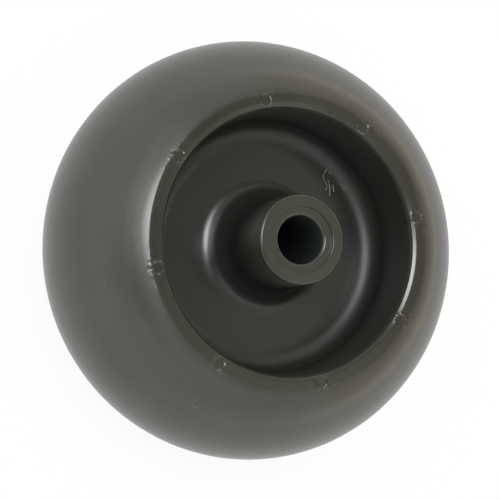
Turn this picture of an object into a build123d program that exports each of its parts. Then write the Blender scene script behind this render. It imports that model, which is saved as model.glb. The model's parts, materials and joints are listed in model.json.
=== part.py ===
from build123d import *
import os
from math import isclose

# Mower deck gauge wheel, moulded in one piece: a barrel-shaped tread round a web and a tubular hub.
# The axle lies along Z and the origin is the middle of the wheel. All lengths are millimetres.

# Barrel: across the crown of the tread, between the two lip faces, and from a recess's mouth to the tread
wheel_diameter = 127.0
body_width = 64.5
lip_width = 5.2
lip_shoulder_radius = 7.5

# Recess in each side: across its mouth, the web left between the two floors, and the mould's draft
mouth_diameter = 74.6
mouth_edge_radius = 1.5
web_thickness = 19.0
wall_draft = 1.0
recess_corner_radius = 5.0

# Hub: a tube through the web, proud of both lips, thickest at its root
hub_length = 76.2
hub_diameter = 24.8
hub_draft = 1.0
hub_root_radius = 7.0
hub_edge_radius = 0.8

# Bore: runs on a 12.7 mm axle bolt, with a shallow washer seat in each end of the hub
axle_bolt_diameter = 12.7
axle_clearance = 0.3
bore_edge_radius = 0.9
seat_diameter = 18.4
seat_depth = 0.8
seat_edge_radius = 0.4
seat_corner_radius = 0.2

# Ejector pin marks: small flat discs sunk in the front lip
pin_count = 8
pin_diameter = 3.4
pin_mark_depth = 0.12

# Sizes that follow from those above
lip_height = body_width / 2
lip_radius = mouth_diameter / 2 + lip_width
web_height = web_thickness / 2
hub_end_height = hub_length / 2
bore_radius = axle_bolt_diameter / 2 + axle_clearance
pin_circle_radius = mouth_diameter / 2 + lip_width / 2

lip_planes = [Plane((0, 0, lip_height)), Plane((0, 0, -lip_height), z_dir=(0, 0, -1))]
hub_planes = [Plane((0, 0, hub_end_height)), Plane((0, 0, -hub_end_height), z_dir=(0, 0, -1))]


def same(first, second):
    """Whether two lengths agree to a thousandth of a millimetre."""
    return isclose(first, second, abs_tol=1e-3)


def flats_at(height):
    """The flat faces square to the axle at this height, on both sides of the wheel."""
    flats = faces().filter_by(Axis.Z)
    return flats.filter_by(lambda face: same(abs(face.center().Z), height))


def rings_at(height, radius):
    """The circular edges of this radius round the axle at this height, on both sides of the wheel."""
    rings = edges().filter_by(GeomType.CIRCLE)
    rings = rings.filter_by(lambda edge: same(edge.radius, radius))
    return rings.filter_by(lambda edge: same(abs(edge.arc_center.Z), height))


with BuildPart() as gauge_wheel:
    # The tread is one arc from lip to lip, turned about the axle, and rolls softly over on to each lip
    with BuildSketch(Plane.XZ):
        with BuildLine():
            tread = ThreePointArc(
                (lip_radius, -lip_height),
                (wheel_diameter / 2, 0),
                (lip_radius, lip_height),
            )
            Polyline(tread @ 1, (0, lip_height), (0, -lip_height), tread @ 0)
        make_face()
    revolve(axis=Axis.Z)
    fillet(rings_at(lip_height, lip_radius), lip_shoulder_radius)

    # A drafted recess goes into each side as far as the web
    with BuildSketch(*lip_planes):
        Circle(mouth_diameter / 2)
    extrude(amount=web_height - lip_height, taper=wall_draft, mode=Mode.SUBTRACT)

    # The hub thickens by its draft from each end to the middle of the web
    with BuildSketch(*hub_planes):
        Circle(hub_diameter / 2)
    extrude(amount=-hub_end_height, taper=-hub_draft)

    # Round the foot of the recess wall, the root of the hub, the mouth and the hub's ends
    wall_feet = [web.outer_wire().edge() for web in flats_at(web_height)]
    fillet(wall_feet, recess_corner_radius)
    hub_roots = [web.inner_wires()[0].edge() for web in flats_at(web_height)]
    fillet(hub_roots, hub_root_radius)
    fillet(rings_at(lip_height, mouth_diameter / 2), mouth_edge_radius)
    fillet(rings_at(hub_end_height, hub_diameter / 2), hub_edge_radius)

    # The bore goes right through, with a washer seat at each end
    with Locations(*hub_planes):
        CounterBoreHole(bore_radius, seat_diameter / 2, seat_depth)
    fillet(rings_at(hub_end_height, seat_diameter / 2), seat_edge_radius)
    fillet(rings_at(hub_end_height - seat_depth, seat_diameter / 2), seat_corner_radius)
    fillet(rings_at(hub_end_height - seat_depth, bore_radius), bore_edge_radius)

    # The pins pushed on the front lip, midway across it
    with BuildSketch(lip_planes[0]):
        with PolarLocations(pin_circle_radius, pin_count):
            Circle(pin_diameter / 2)
    extrude(amount=-pin_mark_depth, mode=Mode.SUBTRACT)

gauge_wheel.part.label = "gauge_wheel"
os.makedirs("parts", exist_ok=True)
export_step(gauge_wheel.part, "parts/gauge_wheel.step")
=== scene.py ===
import bmesh
import bpy
import json
from math import atan2, ceil, cos, hypot, pi, radians, sin, sqrt, tan
from mathutils import Matrix, Vector


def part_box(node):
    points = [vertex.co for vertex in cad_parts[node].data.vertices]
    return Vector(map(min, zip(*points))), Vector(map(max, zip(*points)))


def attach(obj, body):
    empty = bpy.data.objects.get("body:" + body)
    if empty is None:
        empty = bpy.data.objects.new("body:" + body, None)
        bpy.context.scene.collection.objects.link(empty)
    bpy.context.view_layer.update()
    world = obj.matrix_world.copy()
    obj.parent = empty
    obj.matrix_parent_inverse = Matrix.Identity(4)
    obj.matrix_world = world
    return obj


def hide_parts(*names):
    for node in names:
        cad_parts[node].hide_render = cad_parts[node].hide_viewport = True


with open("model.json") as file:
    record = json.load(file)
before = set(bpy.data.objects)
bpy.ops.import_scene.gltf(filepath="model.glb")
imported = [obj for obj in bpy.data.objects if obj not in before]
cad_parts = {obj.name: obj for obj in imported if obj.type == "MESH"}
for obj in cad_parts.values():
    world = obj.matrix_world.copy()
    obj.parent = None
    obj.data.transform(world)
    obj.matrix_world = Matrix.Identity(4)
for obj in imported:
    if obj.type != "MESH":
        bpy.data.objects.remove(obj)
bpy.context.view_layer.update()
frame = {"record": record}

# The wheel is the whole object: one injection moulding in charcoal plastic, round about its axle, with a
# barrel tread, a recess in each side and a tubular hub. Its section is drawn as corners with radii, in
# (radius, height) from the middle of the wheel, and turned about the axle.
mm = 0.001
low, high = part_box("gauge_wheel")
crown_radius = high.y
hub_end_height = high.z
axle_bore = next(mount for mount in frame["record"]["mounts"] if mount["name"] == "axle_bore")
bore_radius = axle_bore["dims"]["r_mm"] * mm
bore_edge_radius = 0.9 * mm
seat_radius = 9.2 * mm
seat_depth = 0.8 * mm
seat_edge_radius = 0.4 * mm
seat_corner_radius = 0.2 * mm
hub_radius = 12.4 * mm
hub_draft = radians(1.0)
hub_edge_radius = 0.8 * mm
hub_root_radius = 7.3 * mm
web_height = 9.5 * mm
recess_corner_radius = 5.0 * mm
mouth_radius = 37.3 * mm
wall_draft = radians(1.0)
mouth_chamfer_width = 0.6 * mm
mouth_chamfer_turn = radians(57)
mouth_chamfer_radius = 0.4 * mm
mouth_edge_radius = 0.3 * mm
mouth_bevel_width = 1.15 * mm
mouth_bevel_turn = radians(19)
mouth_bevel_radius = 1.0 * mm
lip_height = 32.25 * mm
lip_radius = 43.5 * mm
lip_edge_radius = 1.2 * mm
lip_edge_turn = radians(9.5)
lip_shoulder_radius = 16.0 * mm
root_radius = hub_radius + (hub_end_height - web_height) * tan(hub_draft)
foot_radius = mouth_radius - (lip_height - web_height) * tan(wall_draft)
tread_radius = ((crown_radius - lip_radius) ** 2 + lip_height ** 2) / (2 * (crown_radius - lip_radius))


def arc_points(centre, radius, start, end, step):
    """Points along an arc, its ends included."""
    count = max(2, ceil(abs(end - start) / step))
    angles = [start + (end - start) * k / count for k in range(count + 1)]
    return [centre + Vector((cos(angle), sin(angle))) * radius for angle in angles]


def corner_points(before, corner, after, radius, step):
    """The arc that rounds a corner between two straight runs."""
    back = (before - corner).normalized()
    ahead = (after - corner).normalized()
    half = back.angle(ahead) / 2
    centre = corner + (back + ahead).normalized() * (radius / sin(half))
    start = corner + back * (radius / tan(half)) - centre
    end = corner + ahead * (radius / tan(half)) - centre
    first = atan2(start.y, start.x)
    turn = (atan2(end.y, end.x) - first + pi) % (2 * pi) - pi
    return arc_points(centre, radius, first, first + turn, step)


def run_points(start, end, spacing):
    """Points inside a straight run, with one close to each end so that the shading of a flat stays flat."""
    length = (end - start).length
    margin = min(0.15 * mm, length / 4)
    count = max(1, ceil((length - 2 * margin) / spacing))
    places = [margin + (length - 2 * margin) * k / count for k in range(count + 1)]
    return [start.lerp(end, place / length) for place in places]


def half_section(step, spacing, lip_spacing):
    """One side of the wheel's section, from the middle of the bore out and over to the tread's crown."""
    seat_height = hub_end_height - seat_depth
    bevel_radius = mouth_radius + mouth_chamfer_width
    bevel_height = lip_height - mouth_bevel_width * tan(mouth_bevel_turn)
    chamfer_height = bevel_height - mouth_chamfer_width * tan(mouth_chamfer_turn)
    corners = [
        (bore_radius, 0, 0),
        (bore_radius, seat_height, bore_edge_radius),
        (seat_radius, seat_height, seat_corner_radius),
        (seat_radius, hub_end_height, seat_edge_radius),
        (hub_radius, hub_end_height, hub_edge_radius),
        (root_radius, web_height, hub_root_radius),
        (foot_radius, web_height, recess_corner_radius),
        (mouth_radius, chamfer_height, mouth_chamfer_radius),
        (bevel_radius, bevel_height, mouth_edge_radius),
        (bevel_radius + mouth_bevel_width, lip_height, mouth_bevel_radius),
    ]
    places = [Vector(corner[:2]) for corner in corners]
    places.append(Vector((lip_radius, lip_height)))
    points = [places[0]]
    for index in range(1, len(corners)):
        bend = corner_points(places[index - 1], places[index], places[index + 1], corners[index][2], step)
        on_bevel = index == len(corners) - 1
        points += run_points(points[-1], bend[0], lip_spacing if on_bevel else spacing) + bend

    # The flat lip ends in a crisp edge, and a soft shoulder rolls from there on to the arc of the tread
    tread_middle = Vector((crown_radius - tread_radius, 0))
    edge_inside = lip_shoulder_radius - lip_edge_radius
    shoulder_height = lip_height - lip_edge_radius - edge_inside * cos(lip_edge_turn)
    shoulder_reach = sqrt((tread_radius - lip_shoulder_radius) ** 2 - shoulder_height ** 2)
    shoulder_middle = tread_middle + Vector((shoulder_reach, shoulder_height))
    edge_middle = shoulder_middle + Vector((sin(lip_edge_turn), cos(lip_edge_turn))) * edge_inside
    onto_shoulder = pi / 2 - lip_edge_turn
    onto_tread = atan2(shoulder_height, shoulder_reach)
    edge = arc_points(edge_middle, lip_edge_radius, pi / 2, onto_shoulder, step / 2)
    points += run_points(points[-1], edge[0], lip_spacing) + edge
    points += arc_points(shoulder_middle, lip_shoulder_radius, onto_shoulder, onto_tread, step / 4)[1:]
    return points + arc_points(tread_middle, tread_radius, onto_tread, 0, step / 3)[1:]


# The front has finer steps than the back, most of all across the lip, for the marks that lie in it
front = half_section(step=radians(12), spacing=8 * mm, lip_spacing=0.3 * mm)
back = half_section(step=radians(18), spacing=12 * mm, lip_spacing=2 * mm)
outline = front + [Vector((point.x, -point.y)) for point in reversed(back[1:-1])]
section = bpy.data.meshes.new("wheel_section")
rows = [(point.x, 0, point.y) for point in outline]
section.from_pydata(rows, [(k, (k + 1) % len(rows)) for k in range(len(rows))], [])


class Wire:
    """One output of a node in a tree. Sums on wires add Math nodes to the tree."""

    def __init__(self, socket):
        self.socket = socket
        self.tree = socket.id_data

    @staticmethod
    def node(tree, kind, settings, sockets, output=0):
        """Adds a node with its settings, then its sockets' values or wires, and gives one output."""
        node = tree.nodes.new(kind)
        for name, value in settings.items():
            setattr(node, name, value)
        for name, value in sockets.items():
            if isinstance(value, Wire):
                tree.links.new(value.socket, node.inputs[name])
            else:
                node.inputs[name].default_value = value
        return Wire(node.outputs[output]) if node.outputs else node

    def maths(self, operation, *others):
        """A Math node on this wire and up to two more wires or numbers."""
        sockets = dict(enumerate((self, *others)))
        return Wire.node(self.tree, "ShaderNodeMath", {"operation": operation}, sockets)

    def step(self, start, end):
        """A soft step: 0 up to start, 1 from end."""
        sockets = {"Value": self, "From Min": start, "From Max": end}
        return Wire.node(self.tree, "ShaderNodeMapRange", {"interpolation_type": "SMOOTHSTEP"}, sockets)

    def part(self, name):
        """The X, Y or Z of a vector."""
        return Wire.node(self.tree, "ShaderNodeSeparateXYZ", {}, {0: self}, name)

    def length(self):
        """The length of a vector."""
        return Wire.node(self.tree, "ShaderNodeVectorMath", {"operation": "LENGTH"}, {0: self}, "Value")

    def blend(self, first, second):
        """A colour that goes from the first to the second as this wire goes from 0 to 1."""
        sockets = {0: self, 6: first, 7: second}
        return Wire.node(self.tree, "ShaderNodeMix", {"data_type": "RGBA"}, sockets, 2)

    def __add__(self, other):
        return self.maths("ADD", other)

    def __sub__(self, other):
        return self.maths("SUBTRACT", other)

    def __rsub__(self, other):
        return Wire.node(self.tree, "ShaderNodeMath", {"operation": "SUBTRACT"}, {0: other, 1: self})

    def __mul__(self, other):
        return self.maths("MULTIPLY", other)

    def __truediv__(self, other):
        return self.maths("DIVIDE", other)

    __radd__ = __add__
    __rmul__ = __mul__


# The turning sweeps the section round the axle. Its columns crowd together at the ejector pins' marks,
# where the pins' ends left flat discs in the front lip, with torn flash round them and along the lip's
# outer edge.
turning = bpy.data.node_groups.new("wheel_turning", "GeometryNodeTree")
turning_inputs = {
    "Section": ("NodeSocketGeometry", None),
    "Strands": ("NodeSocketObject", None),
    "Plastic": ("NodeSocketMaterial", None),
    "Turns": ("NodeSocketInt", 432),
    "Points": ("NodeSocketInt", len(outline)),
    "Pin Count": ("NodeSocketInt", 8),
    "Pin Crowding": ("NodeSocketFloat", 0.75),
    "Pin Radius": ("NodeSocketFloat", 1.7 * mm),
    "Pin Depth": ("NodeSocketFloat", 0.12 * mm),
    "Pin Circle Radius": ("NodeSocketFloat", 39.9 * mm),
    "Lip Height": ("NodeSocketFloat", lip_height),
    "Flash Height": ("NodeSocketFloat", 0.17 * mm),
    "Flash Width": ("NodeSocketFloat", 0.45 * mm),
    "Lip Edge Radius": ("NodeSocketFloat", 41.7 * mm),
    "Ragged Length": ("NodeSocketFloat", 9 * mm),
    "Strand Radius": ("NodeSocketFloat", 0.2 * mm),
}
identifiers = {}
for name, (kind, value) in turning_inputs.items():
    identifiers[name] = turning.interface.new_socket(name, in_out="INPUT", socket_type=kind).identifier
turning.interface.new_socket("Wheel", in_out="OUTPUT", socket_type="NodeSocketGeometry")


def asked(name):
    """One of the turning's inputs."""
    return Wire.node(turning, "NodeGroupInput", {}, {}, name)


def turning_node(kind, settings, sockets, output=0):
    """A node of the turning."""
    return Wire.node(turning, kind, settings, sockets, output)


row_count = asked("Points") + 1
grid = turning_node("GeometryNodeMeshGrid", {}, {"Vertices X": asked("Turns") + 1, "Vertices Y": row_count})
index = turning_node("GeometryNodeInputIndex", {}, {})
column = (index / row_count).maths("FLOOR")
row = (index - column * row_count).maths("FLOORED_MODULO", asked("Points"))
section_place = turning_node("GeometryNodeSampleIndex", {"data_type": "FLOAT_VECTOR"}, {
    "Geometry": asked("Section"),
    "Value": turning_node("GeometryNodeInputPosition", {}, {}),
    "Index": row,
})
even_turn = column * (2 * pi) / asked("Turns")
crowding = asked("Pin Crowding") * (even_turn * asked("Pin Count")).maths("SINE") / asked("Pin Count")
angle = even_turn - crowding
ring_radius = section_place.part("X")
ring_height = section_place.part("Z")

# How far each point is from the nearest pin's edge, and the disc that the pin pressed flat
pins_per_radian = asked("Pin Count") / (2 * pi)
pin_turn = angle * pins_per_radian
along = (pin_turn - pin_turn.maths("ROUND")) / pins_per_radian * ring_radius
across = ring_radius - asked("Pin Circle Radius")
from_pin_edge = (along * along + across * across).maths("SQRT") - asked("Pin Radius")
edge_softness = 0.12 * mm
front_start = lip_height - 3 * mm
front_whole = lip_height - 2 * mm
on_front = ring_height.step(front_start, front_whole)
in_disc = on_front * (1 - from_pin_edge.step(-edge_softness, edge_softness))
pressed = in_disc * (ring_height - asked("Lip Height") + asked("Pin Depth")).maths("MAXIMUM", 0)

# Torn flash stands up in scraps round the discs, and along the lip's outer edge near them
smooth_place = turning_node("ShaderNodeCombineXYZ", {}, {
    "X": ring_radius * angle.maths("COSINE"),
    "Y": ring_radius * angle.maths("SINE"),
    "Z": ring_height,
})
scraps_per_metre = 1400
scrap_start = 0.45
scrap_whole = 0.66
scraps = turning_node("ShaderNodeTexNoise", {}, {
    "Vector": smooth_place, "Scale": scraps_per_metre, "Detail": 2, "Roughness": 0.6,
}, "Fac").step(scrap_start, scrap_whole)
disc_rim = 1 - (from_pin_edge.maths("ABSOLUTE") / asked("Flash Width")).step(0, 1)
from_lip_edge = (ring_radius - asked("Lip Edge Radius")).maths("ABSOLUTE")
lip_rim = 1 - (from_lip_edge / asked("Flash Width")).step(0, 1)
near_pin = 1 - (along.maths("ABSOLUTE") / asked("Ragged Length")).step(0.3, 1)
ragged = (disc_rim + lip_rim * near_pin).maths("MINIMUM", 1) * scraps * on_front
flash = ragged * asked("Flash Height")
flash_lean = 0.6
turned_radius = ring_radius + flash * across / asked("Pin Radius") * flash_lean
turned_place = turning_node("ShaderNodeCombineXYZ", {}, {
    "X": turned_radius * angle.maths("COSINE"),
    "Y": turned_radius * angle.maths("SINE"),
    "Z": ring_height - pressed + flash,
})
on_points = {"data_type": "FLOAT", "domain": "POINT"}
marked = turning_node("GeometryNodeStoreNamedAttribute", on_points, {
    "Geometry": grid, "Name": "torn", "Value": ragged,
})
turned = turning_node("GeometryNodeSetPosition", {}, {"Geometry": marked, "Position": turned_place})
seam_gap = 0.001 * mm
closed = turning_node("GeometryNodeMergeByDistance", {}, {"Geometry": turned, "Distance": seam_gap})

# Strands of torn plastic follow lines that lie on the wheel, as lumpy beads
strand_sides = 8
lumps_per_metre = 2500
lump_swell = 2
scuff_faintness = 0.6
strand_lines = turning_node("GeometryNodeObjectInfo", {}, {"Object": asked("Strands")}, "Geometry")
strand_profile = turning_node("GeometryNodeCurvePrimitiveCircle", {}, {
    "Resolution": strand_sides, "Radius": asked("Strand Radius"),
}, "Curve")
beads = turning_node("GeometryNodeCurveToMesh", {}, {
    "Curve": strand_lines, "Profile Curve": strand_profile, "Fill Caps": True,
})
lumps = turning_node("ShaderNodeTexNoise", {}, {"Scale": lumps_per_metre, "Detail": 2}, "Fac")
swell = turning_node("ShaderNodeVectorMath", {"operation": "SCALE"}, {
    0: turning_node("GeometryNodeInputNormal", {}, {}),
    "Scale": (lumps - 0.5) * asked("Strand Radius") * lump_swell,
})
lumpy = turning_node("GeometryNodeSetPosition", {}, {"Geometry": beads, "Offset": swell})
bead_reach = turning_node("GeometryNodeInputPosition", {}, {}).length()
on_tread = bead_reach.step(lip_radius, lip_radius + 5 * mm)
strands = turning_node("GeometryNodeStoreNamedAttribute", on_points, {
    "Geometry": lumpy, "Name": "torn", "Value": 1 - on_tread * scuff_faintness,
})
joined = turning_node("GeometryNodeJoinGeometry", {}, {"Geometry": closed})
turning.links.new(strands.socket, joined.socket.node.inputs["Geometry"])
smooth = turning_node("GeometryNodeSetShadeSmooth", {}, {"Geometry": joined})
whole = turning_node("GeometryNodeRealizeInstances", {}, {"Geometry": smooth})
dressed = turning_node("GeometryNodeSetMaterial", {}, {"Geometry": whole, "Material": asked("Plastic")})
turning_node("NodeGroupOutput", {}, {"Wheel": dressed})

# The strands are part of the same moulding: on the web, the scar where the mould's gate was broken off, and
# on the tread, one curled scuff. Each is a smooth line through a few places.
strand_data = bpy.data.curves.new("torn_strands", "CURVE")
strand_data.dimensions = "3D"
strand_data.resolution_u = 6
web_edge = foot_radius - recess_corner_radius * tan(radians(45) - wall_draft / 2)


def resting_height(radius):
    """The height of the front side at this radius, on the web and its rounded foot or on the tread."""
    if radius > lip_radius:
        return sqrt(tread_radius ** 2 - (radius - crown_radius + tread_radius) ** 2)
    bend = max(0, radius - web_edge)
    return web_height + recess_corner_radius - sqrt(recess_corner_radius ** 2 - bend ** 2)


def lay_strand(sunk, *places):
    """A strand through these places, (x, y) in millimetres, with its middle sunk so far into the wheel."""
    spline = strand_data.splines.new("NURBS")
    spline.points.add(len(places) - 1)
    for point, (x, y) in zip(spline.points, places):
        point.co = (x * mm, y * mm, resting_height(hypot(x, y) * mm) - sunk * mm, 1)
    spline.order_u = 3
    spline.use_endpoint_u = True


lay_strand(0, (-19.9, 25.8), (-19.2, 24.9), (-18.6, 24.4))
lay_strand(0, (-18.9, 26.9), (-18.4, 26.4), (-18.5, 25.8))
lay_strand(0, (-18.4, 24.2), (-17.4, 23.7), (-16.5, 23.9), (-15.4, 24.4), (-14.3, 24.6), (-13.4, 23.8))
lay_strand(0, (-14.9, 26.5), (-13.7, 26.6), (-12.5, 26.3))
lay_strand(0, (-14.8, 28.9), (-14.0, 29.4), (-13.6, 30.2), (-13.0, 30.8))
lay_strand(0, (-13.2, 29.3), (-12.6, 29.8), (-12.4, 30.4))
lay_strand(0.08, (-16.4, 25.3), (-15.0, 25.5), (-13.0, 25.2), (-11.6, 24.7))
lay_strand(0.14, (36.9, -33.8), (36.8, -35.2), (38.0, -36.2), (39.2, -35.4), (39.4, -33.6))
strand_object = bpy.data.objects.new("torn_strands", strand_data)
bpy.context.scene.collection.objects.link(strand_object)

# The plastic is charcoal right through: satin on the tread, where it has been rubbed, and glossier on the
# lip and in the recess, with faint rings left by the mould's cutter in the corner of the recess. Where it
# is torn it shows paler. In the recess its colour is painted darker and cooler, as painted shade, and in
# the bore paler, as painted light.
tread_dark = (0.0235, 0.0238, 0.0192, 1)
tread_pale = (0.0295, 0.0298, 0.0246, 1)
recess_shade_colour = (0.0185, 0.0206, 0.0178, 1)
bore_light_colour = (0.030, 0.036, 0.034, 1)
gate_scar_colour = (0.11, 0.112, 0.102, 1)
flash_colour = (0.085, 0.086, 0.079, 1)
dust_colour = (0.12, 0.12, 0.11, 1)
moulded_roughness = 0.16
cloud_roughness = 0.06
recess_roughness = 0.05
rubbed_roughness = 0.26
corner_roughness = 0.12
rubbed_coat = 0.40
coat_roughness = 0.2
corner_start = 30 * mm
corner_whole = 32.5 * mm
cutter_pitch = 0.7 * mm
cutter_relief = 0.010
grain_relief = 0.001
clouds_per_metre = 60
grains_per_metre = 2200
dust_per_metre = 120
speck_core = 0.012
speck_edge = 0.03
plastic = bpy.data.materials.new("charcoal_plastic")
plastic.use_nodes = True
shading = plastic.node_tree
shading.nodes.clear()
on_wheel = Wire.node(shading, "ShaderNodeTexCoord", {}, {}, "Object")
across_axle = {0: on_wheel, 1: (1, 1, 0)}
off_axle = Wire.node(shading, "ShaderNodeVectorMath", {"operation": "MULTIPLY"}, across_axle).length()
off_middle = on_wheel.part("Z").maths("ABSOLUTE")
within_mouth = 1 - off_axle.step(mouth_radius - 1 * mm, mouth_radius + 1 * mm)
sheltered = within_mouth * (1 - off_middle.step(lip_height - 3 * mm, lip_height + 1 * mm))
rubbed = off_axle.step(lip_radius - 3.5 * mm, lip_radius + 0.5 * mm)
in_bore = 1 - off_axle.step(bore_radius + 0.3 * mm, bore_radius + 1 * mm)
near_floor = 1 - off_middle.step(web_height + 3.5 * mm, web_height + 6 * mm)
in_corner = off_axle.step(corner_start, corner_whole) * near_floor * sheltered
cutter_rings = ((off_axle + off_middle) * (2 * pi / cutter_pitch)).maths("SINE")
cloud_size = {"Vector": on_wheel, "Scale": clouds_per_metre, "Detail": 3}
cloud = Wire.node(shading, "ShaderNodeTexNoise", {}, cloud_size, "Fac")
grain_size = {"Vector": on_wheel, "Scale": grains_per_metre, "Detail": 2}
grain = Wire.node(shading, "ShaderNodeTexNoise", {}, grain_size, "Fac")
dust_size = {"Vector": on_wheel, "Scale": dust_per_metre}
dust = Wire.node(shading, "ShaderNodeTexVoronoi", {}, dust_size, "Distance")
speck = 1 - dust.step(speck_core, speck_edge)
torn = Wire.node(shading, "ShaderNodeAttribute", {"attribute_name": "torn"}, {}, "Fac")
colour = cloud.step(0.3, 0.7).blend(tread_dark, tread_pale)
# Painted shade: the recess is given a darker, cooler colour than the tread
colour = sheltered.blend(colour, recess_shade_colour)
# Painted light: the bore is given a paler colour than the recess round it
colour = in_bore.blend(colour, bore_light_colour)
colour = (torn * sheltered).blend(colour, gate_scar_colour)
colour = (torn * (1 - sheltered)).blend(colour, flash_colour)
colour = speck.blend(colour, dust_colour)
roughness = moulded_roughness + cloud * cloud_roughness + sheltered * recess_roughness
roughness = roughness + rubbed * rubbed_roughness + in_corner * corner_roughness
texture = in_corner * cutter_rings * cutter_relief + grain * grain_relief
bumps = {"Strength": 1.0, "Distance": 1.0 * mm, "Height": texture}
surface = Wire.node(shading, "ShaderNodeBsdfPrincipled", {}, {
    "Base Color": colour,
    "Roughness": roughness,
    "Coat Weight": rubbed * rubbed_coat,
    "Coat Roughness": coat_roughness,
    "Normal": Wire.node(shading, "ShaderNodeBump", {}, bumps),
})
Wire.node(shading, "ShaderNodeOutputMaterial", {}, {"Surface": surface})

# The finished moulding is one plain mesh, which stands for the solid wheel
blank = bpy.data.objects.new("wheel_blank", section)
bpy.context.scene.collection.objects.link(blank)
modifier = blank.modifiers.new("turning", "NODES")
modifier.node_group = turning
for name, (kind, value) in turning_inputs.items():
    if value is not None:
        modifier[identifiers[name]] = value
modifier[identifiers["Plastic"]] = plastic
modifier[identifiers["Strands"]] = strand_object
bpy.context.view_layer.update()
finished = blank.evaluated_get(bpy.context.evaluated_depsgraph_get())
wheel_mesh = bpy.data.meshes.new_from_object(finished)
blank.modifiers.clear()
bpy.data.objects.remove(blank)
bpy.data.objects.remove(strand_object)
wheel_mesh.materials.clear()
wheel_mesh.materials.append(plastic)
shell = bmesh.new()
shell.from_mesh(wheel_mesh)
bmesh.ops.recalc_face_normals(shell, faces=shell.faces)
shell.to_mesh(wheel_mesh)
shell.free()
wheel = bpy.data.objects.new("wheel_moulding", wheel_mesh)
bpy.context.scene.collection.objects.link(wheel)
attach(wheel, "root")
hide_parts("gauge_wheel")

# The floor is a wide sheet of white paper that the hub's end stands on. It shows as white to the camera and
# in reflections, and stays matt under and close to the wheel, where the wheel's shadow falls.
floor_reach = 3.0
shadow_reach = 45 * mm
white_from = 60 * mm
white_share = 0.9
paper_colour = (0.88, 0.88, 0.88, 1)
floor_corners = [(-1, -1), (1, -1), (1, 1), (-1, 1)]
floor_mesh = bpy.data.meshes.new("floor")
floor_places = [(x * floor_reach, y * floor_reach, low.z) for x, y in floor_corners]
floor_mesh.from_pydata(floor_places, [], [(0, 1, 2, 3)])
floor = bpy.data.objects.new("floor", floor_mesh)
bpy.context.scene.collection.objects.link(floor)
paper = bpy.data.materials.new("white_paper")
paper.use_nodes = True
sheet = paper.node_tree
sheet.nodes.clear()
seen = Wire.node(sheet, "ShaderNodeLightPath", {}, {}, "Is Camera Ray")
mirrored = Wire.node(sheet, "ShaderNodeLightPath", {}, {}, "Is Glossy Ray")
passed = Wire.node(sheet, "ShaderNodeLightPath", {}, {}, "Is Transmission Ray")
shown = (seen + mirrored + passed).maths("MINIMUM", 1)
on_sheet = Wire.node(sheet, "ShaderNodeTexCoord", {}, {}, "Object")
open_floor = on_sheet.length().step(shadow_reach, white_from)
matt = Wire.node(sheet, "ShaderNodeBsdfDiffuse", {}, {"Color": paper_colour})
white = Wire.node(sheet, "ShaderNodeEmission", {}, {"Strength": 1.0})
lit = shown * open_floor * white_share
sheet_face = Wire.node(sheet, "ShaderNodeMixShader", {}, {0: lit, 1: matt, 2: white})
Wire.node(sheet, "ShaderNodeOutputMaterial", {}, {"Surface": sheet_face})
floor_mesh.materials.append(paper)

# The room is a bright studio with pale walls and a dark ceiling. It is warmer on the right, where +Y is,
# and brighter low down there, and brighter high up at both ends, along X. The camera sees it as plain
# white.
horizon_level = 1.6
ceiling_level = 0.13
left_foot_level = -0.15
left_rise = 0.3
right_foot_level = 0.6
end_foot_level = -0.2
end_rise_level = 0.72
plain_white = (1, 1, 1, 1)
left_tint = (1, 1, 0.93, 1)
right_tint = (1, 0.93, 0.78, 1)
room = bpy.data.worlds.new("room")
bpy.context.scene.world = room
room.use_nodes = True
air = room.node_tree
air.nodes.clear()
outward = Wire.node(air, "ShaderNodeTexCoord", {}, {}, "Generated")
upward = outward.part("Z")
rightward = outward.part("Y")
lengthwise = outward.part("X").maths("ABSOLUTE")
right_side = rightward.step(0.1, 0.8)
left_side = (rightward * -1).step(0.1, 0.8)
walls = horizon_level - upward.step(0.05, 0.8) * (horizon_level - ceiling_level)
left_level = upward.step(0.1, 0.4) * left_rise + left_foot_level
left_wall = left_side * left_level * (1 - upward.step(0.6, 0.85))
right_wall = right_side * (1 - upward.step(0.15, 0.4)) * right_foot_level
end_rise = lengthwise.step(0.1, 0.5) * upward.step(0.3, 0.6) * (1 - upward.step(0.8, 0.95))
end_foot = lengthwise.step(0.6, 0.9) * (1 - upward.step(0.3, 0.6))
end_walls = end_rise * end_rise_level + end_foot * end_foot_level
to_camera = Wire.node(air, "ShaderNodeLightPath", {}, {}, "Is Camera Ray")
level = (walls + left_wall + right_wall + end_walls) * (1 - to_camera) + to_camera
tint = to_camera.blend(right_side.blend(left_tint, right_tint), plain_white)
around = Wire.node(air, "ShaderNodeBackground", {}, {"Color": tint, "Strength": level})
Wire.node(air, "ShaderNodeOutputWorld", {}, {"Surface": around})

# The lamps are flat softboxes: a strong one over the camera, two on the left that roll its light off over
# the tread's shoulder, a weak warm one on the right for the web and the hub's end, and a weak one towards
# the picture's foot for the near shoulder.
camera_tilt = radians(21.36)
camera_rise = radians(11.09)
near_lamp = 0.9
far_lamp = 1.2
warm_light = (1, 1, 0.78)
toward = Vector((0, -sin(camera_tilt), cos(camera_tilt)))
upright = Vector((0, cos(camera_tilt), sin(camera_tilt)))
right = upright * cos(camera_rise) + Vector((1, 0, 0)) * sin(camera_rise)
above = upright * sin(camera_rise) - Vector((1, 0, 0)) * cos(camera_rise)


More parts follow.
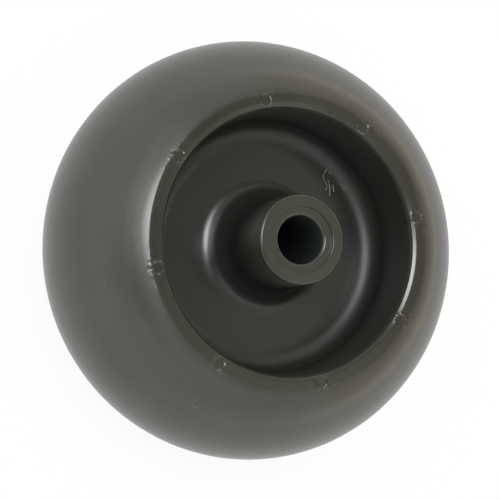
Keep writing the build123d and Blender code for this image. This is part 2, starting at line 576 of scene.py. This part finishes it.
def skyward(elevation, azimuth):
    """The direction at this elevation and azimuth, in degrees."""
    flat = cos(radians(elevation))
    return Vector((flat * cos(radians(azimuth)), flat * sin(radians(azimuth)), sin(radians(elevation))))


def softbox(name, aim, away, width, depth, brightness, colour=(1, 1, 1)):
    """A lamp so far from the wheel, so many degrees wide and deep, as bright as a surface of this level."""
    data = bpy.data.lights.new(name, "AREA")
    data.shape = "ELLIPSE"
    data.color = colour
    data.size = 2 * away * tan(radians(width / 2))
    data.size_y = 2 * away * tan(radians(depth / 2))
    data.energy = pi * brightness * data.size * data.size_y * pi / 4
    lamp = bpy.data.objects.new(name, data)
    bpy.context.scene.collection.objects.link(lamp)
    facing = aim.to_track_quat("Z", "Y").to_matrix().to_4x4()
    lamp.matrix_world = Matrix.Translation(aim.normalized() * away) @ facing


box_right = radians(12)
box_above = radians(14)
over_camera = toward + right * tan(box_right) + above * tan(box_above)
softbox("overhead_box", over_camera, near_lamp, width=21, depth=15, brightness=17)
softbox("left_strip", skyward(47, 234), far_lamp, width=50, depth=20, brightness=1.1)
softbox("left_bank", skyward(63, 235), far_lamp, width=28, depth=18, brightness=2.3)
softbox("right_bank", skyward(66, 78), far_lamp, width=32, depth=13, brightness=0.85, colour=warm_light)
softbox("end_bank", skyward(65, 0), far_lamp, width=60, depth=34, brightness=0.45)

# The camera looks down on the wheel from the left, rolled a little, as the photograph was taken. Its focal
# length and its two small shifts are in pixels of a picture 500 wide.
picture_width = 500
sensor_width = 36
focal_pixels = 1026.0
pixels_right = 2.10
pixels_up = 0.75
camera_distance = 0.315
shift_right = pixels_right / focal_pixels * camera_distance
shift_up = pixels_up / focal_pixels * camera_distance
camera_data = bpy.data.cameras.new("camera")
camera_data.sensor_width = sensor_width
camera_data.lens = focal_pixels * sensor_width / picture_width
camera = bpy.data.objects.new("camera", camera_data)
bpy.context.scene.collection.objects.link(camera)
camera_place = toward * camera_distance - right * shift_right - above * shift_up
camera_axes = Matrix((right, above, toward)).transposed().to_4x4()
camera.matrix_world = Matrix.Translation(camera_place) @ camera_axes
bpy.context.scene.camera = camera
bpy.context.scene.view_settings.view_transform = "Standard"
